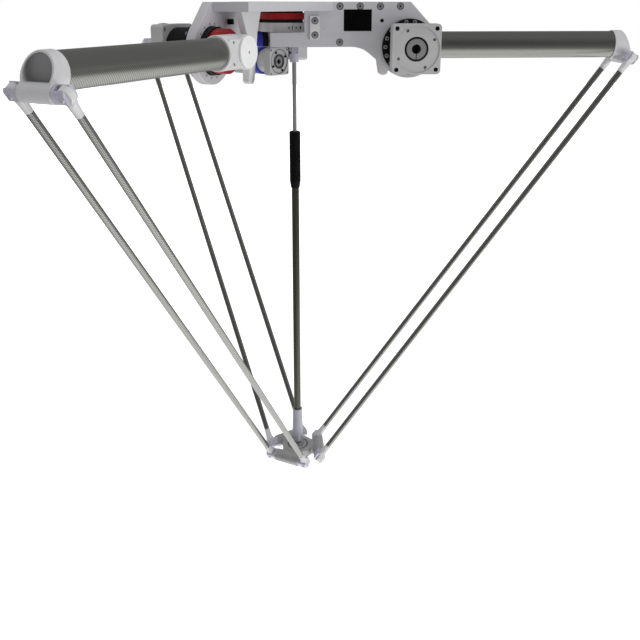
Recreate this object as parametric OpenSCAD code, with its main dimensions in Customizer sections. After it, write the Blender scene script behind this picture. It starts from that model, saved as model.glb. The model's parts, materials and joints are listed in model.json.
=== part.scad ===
// Four-axis delta robot for picking and placing, hung from a ceiling frame.
// Origin: centre of the ceiling face, +Z up. Station a points along +X,
// stations b and c follow at 120 and 240 degrees. All lengths in millimetres.
// In a station, u runs outwards, v runs sideways and the gearbox is at -v.

/* [Robot layout] */
// Centre of the robot to each shoulder axis
shoulder_r = 243; // [235:1:300]
// Depth of the shoulder axes below the ceiling face
axis_drop = 92; // [90:1:120]
// Shoulder axis to elbow axis, measured along the arm tube
arm_len = 502; // [350:1:700]
// Depth of the elbow axis below the centre line of the arm tube
elbow_drop = 27; // [26:1:34]
// Elbow joint to platform joint along a rod
rod_len = 1203; // [900:1:1600]
// Middle plane of the arm to each of its two rods
rod_spread = 48; // [46:1:56]
// Centre of the platform to its three joint bars
platform_r = 53; // [50:1:80]

/* [Top plate] */
// Thickness of the ceiling plate
plate_t = 18; // [14:1:24]
// Middle plane of a station to the plate's edge on the open side
plate_open_side = 30; // [26:1:40]
// Distance from the plate's outer end to the shoulder axis
plate_end_gap = 5; // [0:1:20]
// Radius of the ceiling bolt holes
ceiling_hole_r = 6.75; // [4:0.25:9]
// Radius of the outer circle of ceiling bolts
ceiling_outer_r = 160; // [140:1:180]
// Radius of the inner circle of ceiling bolts
ceiling_inner_r = 90; // [85:1:110]

/* [Side plates] */
// Middle plane of a station to the inner face of its gearbox plate
side_inner = 50; // [48:1:60]
// Thickness of the gearbox plate
side_t = 20; // [16:1:24]
// Radius of the plate's round nose about the shoulder axis
lobe_r = 65; // [63:1:72]
// Slope of the plate's lower edge where it runs down to the nose
belly_slope = 40; // [35:1:50]
// Fillet between the lower edge and its slope
belly_fillet = 62; // [20:1:70]
// Slope of the plate's upper outer corner, from the vertical
corner_slope = 44; // [38:1:50]
// Inner end of the full-height part of the plate, from the robot's centre
side_start = 80; // [75:1:90]
// Inner end of plate a above its tongue, from the robot's centre
long_start = 20; // [10:1:28]
// Length of the tongue of plate a past the robot's centre
tongue_past = 52; // [40:1:60]
// Height of the tongue
tongue_h = 29; // [25:1:40]
// Head radius of the plate screws
screw_head_r = 6.5; // [5:0.5:8]
// Spacing of the plate screws
screw_pitch = 42.6; // [36:0.2:44]

/* [Stop brackets] */
// Thickness of the stop bracket
stop_t = 15; // [10:1:20]
// Width of the stop bracket under the ceiling plate
stop_top_w = 73; // [50:1:80]
// Width of the tongue that the arm's hub passes
stop_low_w = 22; // [16:1:28]

/* [Gearboxes] */
// Outer radius of the black mounting flange
gear_flange_r = 58; // [57:1:62]
// Thickness of the black mounting flange
gear_flange_t = 8; // [6:1:12]
// Radius of the gear housing
gear_body_r = 44; // [40:1:46]
// Radius of the pilot that centres the gearbox in its plate
gear_pilot_r = 47; // [46:1:50]
// Number of screws round the flange
gear_screws = 18; // [8:1:18]
// Width of the square motor adapter
adapter_w = 100; // [90:1:110]
// Thickness of the motor adapter
adapter_t = 28; // [20:1:34]
// Middle plane of the station to the motor face
motor_face = 160; // [145:1:180]
// Side of the square of motor bolts
motor_bolt_pitch = 81.3; // [75:0.1:85]
// Radius of the motor bolt holes
motor_bolt_r = 4.5; // [3:0.5:5]
// Radius of the recess for the motor's pilot
motor_pilot_r = 47.5; // [40:0.5:48]
// Bore radius of the clamp hub that takes the motor shaft
hub_bore_r = 9.5; // [7:0.5:11]

/* [Arms] */
// Outer radius of the carbon arm tube
tube_r = 29; // [24:0.5:30]
// Wall of the carbon arm tube
tube_wall = 3; // [2:0.5:5]
// Shoulder axis to the start of the arm tube
root_len = 67; // [60:1:80]
// Radius of the arm's hub
hub_r = 33; // [30:0.5:34]
// Radius of the coloured ring between gearbox and hub
ring_r = 43; // [38:1:46]
// Radius of the cap on the hub
cap_r = 31; // [24:1:32]
// Length of the elbow sleeve that covers the tube
sleeve_cover = 16; // [12:1:24]
// Wall of the elbow sleeve
sleeve_wall = 2; // [1:0.5:2]
// Radius of the bar that carries the rod joints
bar_r = 15; // [13:0.5:16]
// Half length of the joint bar
bar_half = 31; // [31:0.5:32]

/* [Rods] */
// Outer radius of a carbon rod
rod_r = 6.5; // [5:0.5:9]
// Joint centre to the start of the carbon
rod_end_len = 38; // [32:1:50]
// Side of a joint block, across its swivel axis
block_w = 24; // [18:1:26]
// Radius of the pins that hold the joint blocks
pin_r = 5; // [3:0.5:6]
// Radius of the pins that hold the rod ends
eye_pin_r = 4; // [3:0.5:5]
// Radius of the eye of a rod end
eye_r = 12.5; // [11:0.5:12.5]
// Thickness of the eye of a rod end
eye_t = 12; // [10:1:14]

/* [Platform] */
// Radius of the platform's round body
platform_body_r = 39; // [34:1:41]
// Thickness of the platform's round body
platform_t = 22; // [18:1:26]
// Radius of the rotating tool flange
tool_flange_r = 25; // [22:1:30]
// Thickness of the tool flange
tool_flange_t = 12; // [8:1:16]
// Radius of the tool bolt circle
tool_bolt_circle_r = 15.75; // [14:0.25:18]
// Radius of the tool bolt holes
tool_bolt_r = 2.75; // [2:0.25:3.5]
// Radius of the tool flange's centre bore
tool_bore_r = 6; // [4:0.5:8]
// Width of the spoke that carries each joint bar
spoke_w = 44; // [36:1:56]
// Thickness of the spokes
spoke_t = 18; // [14:1:18]

/* [Telescopic shaft] */
// Radius of the steel inner shaft
inner_shaft_r = 4.5; // [3.5:0.25:6]
// Depth of the steel shaft's lower end below the shoulder axes
inner_shaft_depth = 600; // [450:5:700]
// Radius of the black guide sleeve
guide_r = 12.5; // [10:0.5:15]
// Depth of the top of the guide sleeve below the shoulder axes
guide_top = 190; // [120:1:260]
// Length of the guide sleeve
guide_len = 131; // [90:1:180]
// Radius of the carbon shaft tube
shaft_tube_r = 8.5; // [7.5:0.25:11]
// Length of the carbon tube inside the guide sleeve
tube_lap = 39; // [25:1:60]
// Length of the metal fitting at the lower end of the shaft
fitting_len = 102; // [70:1:120]
// Radius of the metal fitting
fitting_r = 12; // [11:0.5:14]

/* [Fourth axis] */
// Radius of the round end of the gear case
case_r = 47; // [40:1:48]
// Height of the gear case
case_h = 19; // [16:1:20]
// Height of the gear case's top above the shoulder axes
case_rise = 49; // [46:1:52]
// Robot's centre to the square end of the gear case
case_end = 22; // [18:1:26]
// Width of the fourth axis's square motor adapter
small_adapter_w = 58; // [56:1:60]
// Direction that the fourth motor adapter faces, in degrees
small_turn = -45; // [-60:1:-30]
// Radius of the fourth motor flange's pilot recess
small_pilot_r = 25; // [20:0.5:27]
// Side of the square of the fourth motor's bolts
small_bolt_pitch = 49.5; // [40:0.1:50]

/* [Fits] */
// Gap between faces of parts that move past each other
face_gap = 0.3; // [0.2:0.05:0.6]
// Radial clearance of a running fit
run_gap = 0.05; // [0.02:0.01:0.1]
// Radial clearance of a screw in its hole
screw_gap = 0.15; // [0.1:0.05:0.5]

/* [Hidden] */
$fn = 96;
eps = 0.01;

// Robot layout
axis_z = -axis_drop;
elbow_r = shoulder_r + arm_len;
elbow_z = axis_z - elbow_drop;
rod_lean = asin((elbow_r - platform_r) / rod_len);
platform_z = elbow_z - rod_len * cos(rod_lean);

// Top plate
plate_end = shoulder_r - plate_end_gap;
side_outer = side_inner + side_t;
ceiling_turn = -12;

// Gearbox plates, in u and z from the shoulder axis
side_top = axis_drop;
slope_back = lobe_r / tan(belly_slope);
belly_corner = -lobe_r * sin(belly_slope) - slope_back * cos(belly_slope);
fillet_run = belly_fillet * tan(belly_slope / 2);
fillet_steps = 12;
tuck = 0.5;
corner_rise = (side_top - lobe_r * sin(corner_slope)) / cos(corner_slope);
top_corner = lobe_r * cos(corner_slope) - corner_rise * sin(corner_slope);
screw_z = -plate_t / 2;
first_screw = side_start + 14.7;
screw_head_h = 8;
screw_sink_r = screw_head_r + 1;
screw_sink = screw_head_h + 1;
screw_r = 4;
screw_len = 34;
low_screw_z = 10;
index_hole = [-59, 54];
index_hole_r = 4;

// Stop brackets
stop_face = 10;
stop_outer = -hub_r - 2 * face_gap;
stop_inner = stop_outer - stop_low_w;
stop_centre = -49.5;
stop_waist_z = 34;
stop_bottom = -lobe_r;
stop_round = 9;

// Gearboxes
gear_back = side_outer + gear_flange_t;
gear_out_r = ring_r + 3;
gear_out_t = 12;
gear_neck_r = 22;
gear_neck_depth = 20;
gear_screw_circle = gear_flange_r - 6;
gear_head_r = 4.2;
gear_head_h = 5;
adapter_back = motor_face - adapter_t;
adapter_corner = 8;
hub_outer_r = 22;
hub_len = 22;
hub_sink = 3;
adapter_bore_r = hub_outer_r + 2.5;
pilot_depth = 2.5;
inner_screw_circle = 41;
inner_screw_turn = 27.5;

// Arms, in v from the middle plane of the station
ring_start = side_inner - gear_out_t - face_gap;
hub_start = 14;
hub_face = 28;
cap_t = 5;
neck_r = tube_r + 4.5;
spigot_len = 46;
pad_half = 26;
pad_start = 20;
pad_end = root_len - 6;
pad_screw = [46, 20];
flat_end = ring_r + 2;
tube_end = arm_len - 14;
sleeve_r = tube_r + sleeve_wall;
sleeve_start = tube_end - sleeve_cover;
mouth_r = tube_r - 2;
mouth_floor_t = 4;
mouth_top = arm_len - 8;
mouth_tilt = 20;
web_half = 20;
web_out = 10;

// Rods
carbon_len = rod_len - 2 * rod_end_len;
rod_wall = 1.5;
block_in = bar_half + face_gap;
block_out = rod_spread + 7;
block_chamfer = 4;
pin_len = 18;
neck_w = 16;
neck_start = block_w / 2;
socket_r = rod_r + 0.6;
socket_len = 6;
plug_len = 24;

// Telescopic shaft
guide_bottom = axis_z - guide_top - guide_len;
guide_taper = 16;
shaft_core_r = shaft_tube_r - 1.5;
platform_top = platform_z + platform_t / 2;
seal_r = 23;
seal_depth = 8;
fitting_top = platform_top + fitting_len;
socket_depth = 24;
foot_shaft_r = 9;
yoke_w = 20;
fork_t = 4;
fork_w = yoke_w - 2 * fork_t - 1;
yoke_top = axis_z + 2;
cross_z = axis_z - 7;
cross_r = 3.5;
yoke_drop = 36;
yoke_bottom = axis_z - yoke_drop;

// Fourth axis
case_top = axis_z + case_rise;
case_low = case_top - case_h;
case_centre = [-26, 0];
case_back = 25;
case_arm_r = 14;
cover_low = case_top + 7;
cover_h = 13;
cover_proud = 1;
cover_past = 4;
core_in = 4;
blend_in = 0.6;
output_stub_r = 10;
output_boss_r = 17;
output_bore_len = 30;
small_drop = 33;
small_z = axis_z - small_drop;
small_face = [-33, -25];
small_adapter_t = 18;
small_body_r = 25;
small_body_len = 28;
small_ring_r = 29.5;
small_ring_t = 12;
small_box_w = 56;
box_run = small_adapter_t + small_body_len + small_ring_t + small_box_w / 2;
input_setback = 24;
input_xy = [
  small_face[0] - box_run * cos(small_turn) - input_setback,
  small_face[1] - box_run * sin(small_turn) + 1
];
input_neck_r = 9;
small_hub_r = 11;
small_bore_r = 5.5;

// Strap over the fourth axis's bracket
strap_centre = [41.7, 39.5];
strap_size = [20, 48];
strap_t = 6;
strap_screw_gap = 29;

aluminium = [0.78, 0.78, 0.79];
bright = [0.9, 0.9, 0.9];
steel = [0.66, 0.66, 0.74];
carbon = [0.26, 0.27, 0.24];
black = [0.08, 0.08, 0.08];
red = [0.62, 0.08, 0.09];
blue = [0.2, 0.22, 0.62];

// Places its children in a station's frame: u outwards, v sideways, height kept.
module station(k) rotate([0, 0, 120 * k]) children();

// Same, with the origin moved to the shoulder axis.
module shoulder(k) station(k) translate([shoulder_r, 0, axis_z]) children();

// Extrudes a (u, z) outline between two distances in v.
module slab(v0, v1) translate([0, v1, 0]) rotate([90, 0, 0]) linear_extrude(v1 - v0) children();

// Round bar along v between two distances.
module along_v(r, v0, v1) translate([0, v0, 0]) rotate([-90, 0, 0]) cylinder(r = r, h = v1 - v0);

// Round bar along u between two distances.
module along_u(r, u0, u1) translate([u0, 0, 0]) rotate([0, 90, 0]) cylinder(r = r, h = u1 - u0);

// Square with round corners, centred.
module round_square(w, r) {
  square([w - 2 * r, w], center = true);
  square([w, w - 2 * r], center = true);
  for (x = [-1, 1], y = [-1, 1]) translate([x, y] * (w / 2 - r)) circle(r);
}

// Square with cut corners, centred.
module chamfered_square(w, cut) polygon([
  [w / 2, cut - w / 2], [w / 2, w / 2 - cut], [w / 2 - cut, w / 2], [cut - w / 2, w / 2],
  [-w / 2, w / 2 - cut], [-w / 2, cut - w / 2], [cut - w / 2, -w / 2], [w / 2 - cut, -w / 2]
]);

// Screw along -v with its head's top at v = 0: a round head with a hexagon socket.
module cap_screw(head_radius, head_height, shank_radius, length) difference() {
  union() {
    along_v(head_radius, 0, head_height);
    along_v(shank_radius, head_height - eps, length);
  }
  translate([0, -eps, 0]) rotate([-90, 0, 0])
    cylinder(r = head_radius * 0.52, h = head_height * 0.6, $fn = 6);
}

// ---- Base frame ----

// A point of a station, turned to its place.
function placed(k, u, v) = [u * cos(120 * k) - v * sin(120 * k), u * sin(120 * k) + v * cos(120 * k)];

// Pinwheel: three arms, joined by straight edges that end flush with the next gearbox plate.
module top_plate_outline() polygon([for (k = [0:2]) for (p = [
  [side_start, -side_outer],
  [side_start, -side_inner],
  [plate_end, -side_inner],
  [plate_end, plate_open_side]
]) placed(k, p[0], p[1])]);

module plate_screw_places() {
  for (i = [0:3]) translate([first_screw + i * screw_pitch, -side_outer, screw_z]) children();
}

module top_plate() color(aluminium) difference() {
  translate([0, 0, -plate_t]) linear_extrude(plate_t) top_plate_outline();
  for (k = [0:2]) station(k) {
    for (r = [ceiling_outer_r, ceiling_inner_r]) rotate([0, 0, ceiling_turn])
      translate([r, 0, -plate_t - 1]) cylinder(r = ceiling_hole_r, h = plate_t + 2);
    plate_screw_places() along_v(screw_r + screw_gap, side_t - 1, screw_len + 4);
  }
}

// Outline of a gearbox plate, from the shoulder axis, starting at u = start.
module side_outline(start) difference() {
  union() {
    polygon(concat(
      [[start, 0]],
      [for (i = [0:fillet_steps]) let (a = 90 - belly_slope * i / fillet_steps)
        [belly_corner - fillet_run + belly_fillet * cos(a), belly_fillet * (sin(a) - 1)]],
      [
        [-(lobe_r - tuck) * sin(belly_slope), -(lobe_r - tuck) * cos(belly_slope)],
        [0, 0],
        [(lobe_r - tuck) * cos(corner_slope), (lobe_r - tuck) * sin(corner_slope)],
        [top_corner, side_top],
        [side_start - shoulder_r, side_top],
        [side_start - shoulder_r, side_top - plate_t],
        [start, side_top - plate_t]
      ]
    ));
    circle(lobe_r);
  }
  circle(gear_pilot_r + run_gap);
  translate(index_hole) circle(index_hole_r);
}

module side_plate(k, start) color(aluminium) difference() {
  union() {
    shoulder(k) slab(-side_outer, -side_inner) side_outline(start - shoulder_r);
    if (k == 0) station(k) translate([0, 0, axis_z]) slab(-side_outer, -side_inner)
      translate([-tongue_past, 0]) square([tongue_past + start + 1, tongue_h]);
  }
  station(k) {
    plate_screw_places() {
      translate([0, -1, 0]) along_v(screw_sink_r, 0, screw_sink + 1);
      along_v(screw_r + screw_gap, 0, side_t + 1);
    }
    translate([first_screw, -side_outer, axis_z + low_screw_z]) {
      translate([0, -1, 0]) along_v(screw_sink_r, 0, screw_sink + 1);
      along_v(screw_r + screw_gap, 0, side_t + 1);
    }
    if (k == 0) strap_screw_places() along_v(screw_r + screw_gap, 0, side_t + strap_t + 1);
  }
}

module stop_bracket(k) color(bright) shoulder(k) slab(stop_face - stop_t, stop_face) {
  polygon([
    [stop_centre - stop_top_w / 2, side_top - plate_t],
    [stop_centre + stop_top_w / 2, side_top - plate_t],
    [stop_outer + 4, stop_waist_z],
    [stop_outer, stop_waist_z - 14],
    [stop_outer, stop_bottom + stop_round],
    [stop_outer - stop_round, stop_bottom],
    [stop_inner + stop_round, stop_bottom],
    [stop_inner, stop_bottom + stop_round],
    [stop_inner - 15, stop_waist_z]
  ]);
  for (u = [stop_inner + stop_round, stop_outer - stop_round])
    translate([u, stop_bottom + stop_round]) circle(stop_round);
}

module strap_screw_places() for (s = [-1, 1])
  translate([strap_centre[0], -side_outer - strap_t, axis_z + strap_centre[1] + s * strap_screw_gap / 2])
    children();

module case_strap() color(bright) difference() {
  translate([strap_centre[0], 0, axis_z + strap_centre[1]])
    slab(-side_outer - strap_t, -side_outer) square(strap_size, center = true);
  strap_screw_places() {
    translate([0, -1, 0]) along_v(screw_sink_r, 0, 4);
    along_v(screw_r + screw_gap, 0, strap_t + 1);
  }
}

// ---- Gearboxes and motor adapters ----

// Shoulder gearbox: black flange and housing; the output ring faces the arm.
module gearbox(k) color(black) shoulder(k) difference() {
  union() {
    along_v(gear_body_r, -adapter_back, -gear_back);
    along_v(gear_flange_r, -gear_back, -side_outer);
    along_v(gear_pilot_r, -side_outer, -side_inner);
    along_v(gear_out_r, -side_inner, -side_inner + gear_out_t);
  }
  along_v(gear_neck_r + run_gap, -side_inner + gear_out_t - gear_neck_depth, -side_inner + gear_out_t + 1);
}

// Places its children at a motor face, looking outwards along +Z.
module motor_frame(k) shoulder(k) translate([0, -motor_face, 0]) rotate([90, 0, 0]) children();

module motor_adapter(k) color(aluminium) motor_frame(k) difference() {
  translate([0, 0, -adapter_t]) linear_extrude(adapter_t) round_square(adapter_w, adapter_corner);
  translate([0, 0, -pilot_depth]) cylinder(r = motor_pilot_r, h = pilot_depth + 1);
  translate([0, 0, -hub_len - hub_sink]) cylinder(r = adapter_bore_r, h = hub_len + hub_sink + 1);
  for (x = [-1, 1], y = [-1, 1]) translate([x * motor_bolt_pitch / 2, y * motor_bolt_pitch / 2, -adapter_t - 1])
    cylinder(r = motor_bolt_r, h = adapter_t + 2);
  for (i = [0:3]) rotate(inner_screw_turn + 90 * i)
    translate([inner_screw_circle, 0, -pilot_depth - 8]) cylinder(r = 3.2, h = 10);
}

// Clamp hub with a slit and a clamping screw hole.
module clamp_hub(outer, bore, length) difference() {
  translate([0, 0, -length]) cylinder(r = outer, h = length);
  translate([0, 0, -length - 1]) cylinder(r = bore, h = length + 2);
  translate([-0.8, -outer - 1, -length / 2]) cube([1.6, outer, length]);
}

module input_hub(k) color(steel) motor_frame(k) translate([0, 0, -hub_sink])
  clamp_hub(hub_outer_r, hub_bore_r, hub_len - face_gap);

module cap_screws() color(bright) for (k = [0:2]) station(k) {
  plate_screw_places() translate([0, 1, 0]) cap_screw(screw_head_r, screw_head_h, screw_r, screw_len);
  translate([first_screw, 1 - side_outer, axis_z + low_screw_z])
    cap_screw(screw_head_r, screw_head_h, screw_r, side_t - 2);
  if (k == 0) strap_screw_places() cap_screw(screw_head_r, 3, screw_r, side_t + strap_t - 2);
  translate([shoulder_r, -gear_back - gear_head_h, axis_z]) for (i = [0:gear_screws - 1])
    rotate([0, i * 360 / gear_screws, 0]) translate([gear_screw_circle, 0, 0])
      cap_screw(gear_head_r, gear_head_h, gear_head_r / 2, gear_head_h);
}

// ---- Arms ----

// Coloured ring with the stub that turns in the gearbox.
module hub_ring(k, tint) color(tint) shoulder(k) {
  along_v(ring_r, -ring_start, -hub_start);
  along_v(gear_neck_r, -side_inner + gear_out_t - gear_neck_depth + 1, -ring_start + eps);
}

// Arm root: hub drum, neck that the tube slides onto, and a flat with two screw holes.
module arm_root(k) color(bright) shoulder(k) difference() {
  union() {
    along_v(hub_r, -hub_start, hub_face);
    along_u(neck_r, 0, root_len);
    along_u(tube_r - tube_wall - run_gap, root_len - eps, root_len + spigot_len);
    translate([pad_start, 0, -pad_half]) cube([pad_end - pad_start, hub_face, 2 * pad_half]);
  }
  translate([-2 * hub_r, -hub_start - neck_r, -neck_r]) cube([2 * hub_r + flat_end, neck_r, 2 * neck_r]);
  translate([-2 * hub_r, hub_face, -neck_r]) cube([2 * hub_r + pad_end, neck_r, 2 * neck_r]);
  for (s = [-1, 1]) translate([pad_screw[0], hub_face, s * pad_screw[1]]) along_v(3, -8, 1);
}

module hub_cap(k) color("white") shoulder(k) difference() {
  along_v(cap_r, hub_face, hub_face + cap_t);
  along_v(2.5, hub_face + 1, hub_face + cap_t + 1);
}

module arm_tube(k) color(carbon) shoulder(k) difference() {
  along_u(tube_r, root_len, tube_end);
  along_u(tube_r - tube_wall, root_len - 1, tube_end + 1);
}

// Elbow: a sleeve with an oblique mouth and a floor, blended into the bar that carries the joints.
module elbow_casting(k) color(bright) shoulder(k) difference() {
  union() {
    difference() {
      union() {
        along_u(sleeve_r, sleeve_start, mouth_top + 2 * sleeve_r);
        slab(-web_half, web_half) polygon([
          [sleeve_start + 4, -sleeve_r + 3],
          [arm_len + web_out, -sleeve_r + 12],
          [arm_len + web_out, -elbow_drop],
          [arm_len, -elbow_drop - bar_r],
          [arm_len - 8, -elbow_drop - bar_r + 2.6],
          [sleeve_start + 4, -sleeve_r + 1]
        ]);
      }
      translate([mouth_top, -2 * sleeve_r, tube_r]) rotate([0, -mouth_tilt, 0])
        translate([0, 0, -3 * sleeve_r]) cube([4 * sleeve_r, 4 * sleeve_r, 6 * sleeve_r]);
      along_u(mouth_r, sleeve_start - 1, mouth_top + 3 * sleeve_r);
    }
    translate([arm_len, 0, -elbow_drop]) along_v(bar_r, -bar_half, bar_half);
    along_u(mouth_r + tuck, tube_end + face_gap, tube_end + face_gap + mouth_floor_t);
  }
  along_u(tube_r + run_gap, sleeve_start - 1, tube_end + face_gap);
  for (s = [-1, 1]) translate([arm_len, 0, -elbow_drop])
    along_v(pin_r + run_gap, s > 0 ? bar_half - pin_len - 1 : -bar_half - 1, s > 0 ? bar_half + 1 : pin_len + 1 - bar_half);
}

// ---- Rods ----

// Rod frame: origin at the elbow joint on side s, +Z down the rod, +Y outwards in v.
module rod_frame(k, s) station(k) translate([elbow_r, s * rod_spread, elbow_z])
  rotate([0, 180 + rod_lean, 0]) children();

module rod_tube(k, s) color(carbon) rod_frame(k, s) translate([0, 0, rod_end_len]) difference() {
  cylinder(r = rod_r, h = carbon_len);
  translate([0, 0, -1]) cylinder(r = rod_r - rod_wall, h = plug_len + 1);
  translate([0, 0, carbon_len - plug_len]) cylinder(r = rod_r - rod_wall, h = plug_len + 1);
}

// One end fitting: flat eye, neck that tapers to the rod, plug inside the rod.
module rod_end() difference() {
  union() {
    rotate([0, 90, 0]) cylinder(r = eye_r, h = eye_t, center = true);
    translate([-eye_t / 2, -neck_w / 2, 0]) cube([eye_t, neck_w, neck_start + 4]);
    translate([0, 0, neck_start]) cylinder(r = neck_w / 2, h = 5);
    translate([0, 0, neck_start + 5 - eps])
      cylinder(r1 = neck_w / 2, r2 = socket_r, h = rod_end_len - neck_start - 5 - socket_len + 2 * eps);
    translate([0, 0, rod_end_len - socket_len]) cylinder(r = socket_r, h = socket_len);
    translate([0, 0, rod_end_len - eps]) cylinder(r = rod_r - rod_wall - run_gap, h = plug_len - 2);
  }
  rotate([0, 90, 0]) cylinder(r = eye_pin_r + run_gap, h = eye_t + 2, center = true);
  translate([-neck_w, -neck_w - socket_r + 1.6, rod_end_len - socket_len - 4]) cube([2 * neck_w, neck_w, 4]);
}

module rod_ends(k) color(bright) for (s = [-1, 1]) rod_frame(k, s) {
  rod_end();
  translate([0, 0, rod_len]) mirror([0, 0, 1]) rod_end();
}

// Forked joint block round the eye of a rod end, for the side s, with its cross pin.
module joint_block(s, with_pin) {
  mirror([0, s > 0 ? 0 : 1, 0]) difference() {
    union() {
      translate([0, block_in - rod_spread, 0]) rotate([-90, 0, 0])
        linear_extrude(block_out - block_in) chamfered_square(block_w, block_chamfer);
      if (with_pin) along_v(pin_r, bar_half - pin_len - rod_spread, block_in + 1 - rod_spread);
    }
    translate([-eye_t / 2 - screw_gap, -eye_r - 0.5, -block_w])
      cube([eye_t + 2 * screw_gap, 2 * block_w, 2 * block_w]);
  }
  rotate([0, 90, 0]) cylinder(r = eye_pin_r, h = block_w + 2.4, center = true);
}

module rod_blocks(k) color(steel) for (s = [-1, 1]) rod_frame(k, s) {
  joint_block(s, true);
  translate([0, 0, rod_len]) joint_block(s, false);
}

// ---- Fourth axis drive ----

module small_frame() translate([small_face[0], small_face[1], small_z])
  rotate([0, 0, small_turn]) rotate([0, 90, 0]) children();

// Outline of the gear case: round end, square end past the output, arm to the input.
module case_outline(proud, past) {
  run = norm(input_xy - case_centre);
  translate(case_centre) circle(case_r + proud);
  translate([case_centre[0], blend_in - case_r - proud])
    square([case_end + past - case_centre[0], case_r + proud - blend_in + case_back]);
  translate(input_xy) circle(case_arm_r + proud);
  translate(case_centre) rotate(atan2(input_xy[1] - case_centre[1], input_xy[0] - case_centre[0]))
    translate([0, blend_in - case_arm_r - proud]) square([run, 2 * (case_arm_r + proud - blend_in)]);
}

module axis4_gear_case() color(aluminium) difference() {
  union() {
    translate([0, 0, case_low]) linear_extrude(case_h) case_outline(0, 0);
    translate([0, 0, axis_z + 8]) cylinder(r = output_boss_r, h = case_low - axis_z - 8 + eps);
    translate([input_xy[0], input_xy[1], small_z + small_box_w / 2])
      cylinder(r = input_neck_r, h = case_low - small_z - small_box_w / 2 + eps);
  }
  translate([0, 0, axis_z + 7]) cylinder(r = output_stub_r + run_gap, h = output_bore_len);
}

// Black core between the gear case and the ceiling plate.
module axis4_core() color(black) translate([0, 0, case_top])
  linear_extrude(-plate_t - case_top) case_outline(-core_in, -core_in);

module axis4_cover() color(red) translate([0, 0, cover_low]) linear_extrude(cover_h) difference() {
  case_outline(cover_proud, cover_past);
  case_outline(screw_gap - core_in, screw_gap - core_in);
}

module axis4_gearbox() color(bright) small_frame() {
  translate([0, 0, -small_adapter_t - small_body_len]) cylinder(r = small_body_r, h = small_body_len);
  translate([0, 0, -small_adapter_t - small_body_len - small_ring_t])
    cylinder(r = small_ring_r - 5, h = small_ring_t + eps);
  translate([0, 0, -small_adapter_t - small_body_len - small_ring_t - small_box_w / 2])
    cube(small_box_w, center = true);
}

module axis4_ring() color(blue) small_frame() difference() {
  translate([0, 0, -small_adapter_t - small_body_len - small_ring_t])
    cylinder(r = small_ring_r, h = small_ring_t);
  translate([0, 0, -small_adapter_t - small_body_len - small_ring_t - 1])
    cylinder(r = small_ring_r - 5 + run_gap, h = small_ring_t + 2);
}

module axis4_adapter() color(aluminium) small_frame() difference() {
  translate([0, 0, -small_adapter_t]) linear_extrude(small_adapter_t) round_square(small_adapter_w, 5);
  translate([0, 0, -2]) cylinder(r = small_pilot_r, h = 3);
  translate([0, 0, -small_adapter_t - 1]) cylinder(r = small_hub_r + 2, h = small_adapter_t + 2);
  for (x = [-1, 1], y = [-1, 1]) translate([x * small_bolt_pitch / 2, y * small_bolt_pitch / 2, -small_adapter_t - 1])
    cylinder(r = 2.2, h = small_adapter_t + 2);
}

module axis4_input_hub() color(steel) small_frame() translate([0, 0, -1])
  clamp_hub(small_hub_r, small_bore_r, small_adapter_t - 1 - face_gap);

// ---- Telescopic shaft ----

// Fork of a universal joint: a round stub with two cheeks along one side.
module fork(stub_z, cheek_z, cheek_turn) {
  low = min(stub_z, cheek_z);
  rotate([0, 0, cheek_turn]) for (s = [0, 1]) mirror([s, 0, 0])
    translate([yoke_w / 2 - fork_t, -fork_w / 2, low]) cube([fork_t, fork_w, abs(cheek_z - stub_z)]);
}

// Upper fork of the universal joint, with the cross as a loose solid in it.
module drive_yoke() color(steel) {
  difference() {
    union() {
      translate([0, 0, yoke_top]) cylinder(r = output_stub_r, h = case_low + 4 - yoke_top);
      translate([0, 0, yoke_top]) cylinder(r = yoke_w / 2 + 2, h = 5);
      fork(yoke_top + eps, cross_z - 6, 0);
    }
    translate([0, 0, cross_z]) rotate([0, 90, 0]) cylinder(r = cross_r + run_gap, h = 2 * yoke_w, center = true);
  }
  translate([0, 0, cross_z]) {
    for (a = [0, 90]) rotate([0, 0, a]) rotate([0, 90, 0]) cylinder(r = cross_r, h = yoke_w, center = true);
    cube(8, center = true);
  }
}

module shaft_yoke() color(steel) difference() {
  union() {
    translate([0, 0, yoke_bottom]) cylinder(r = yoke_w / 2, h = 18);
    fork(yoke_bottom + 18 - eps, cross_z + 6, 90);
  }
  translate([0, 0, yoke_bottom - 1]) cylinder(r = inner_shaft_r + run_gap, h = 16);
  translate([0, 0, cross_z]) rotate([90, 0, 0]) cylinder(r = cross_r + run_gap, h = 2 * yoke_w, center = true);
}

module inner_shaft() color(steel) translate([0, 0, axis_z - inner_shaft_depth])
  cylinder(r = inner_shaft_r, h = inner_shaft_depth + yoke_bottom + 14 - axis_z);

module guide_sleeve() color(black) difference() {
  union() {
    translate([0, 0, guide_bottom + guide_taper]) cylinder(r = guide_r, h = guide_len - guide_taper - 2);
    translate([0, 0, guide_bottom + guide_len - 2 - eps]) cylinder(r1 = guide_r, r2 = guide_r - 2, h = 2);
    translate([0, 0, guide_bottom]) cylinder(r1 = shaft_tube_r + 1.5, r2 = guide_r, h = guide_taper + eps);
  }
  translate([0, 0, guide_bottom - 1]) cylinder(r = shaft_tube_r + run_gap, h = tube_lap + 2);
  translate([0, 0, guide_bottom]) cylinder(r = inner_shaft_r + run_gap, h = guide_len + 1);
}

module shaft_tube() color(carbon) translate([0, 0, fitting_top - socket_depth]) difference() {
  cylinder(r = shaft_tube_r, h = guide_bottom + tube_lap - fitting_top + socket_depth);
  translate([0, 0, -1]) cylinder(r = shaft_core_r, h = guide_bottom + tube_lap + 2 - fitting_top + socket_depth);
}

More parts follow.
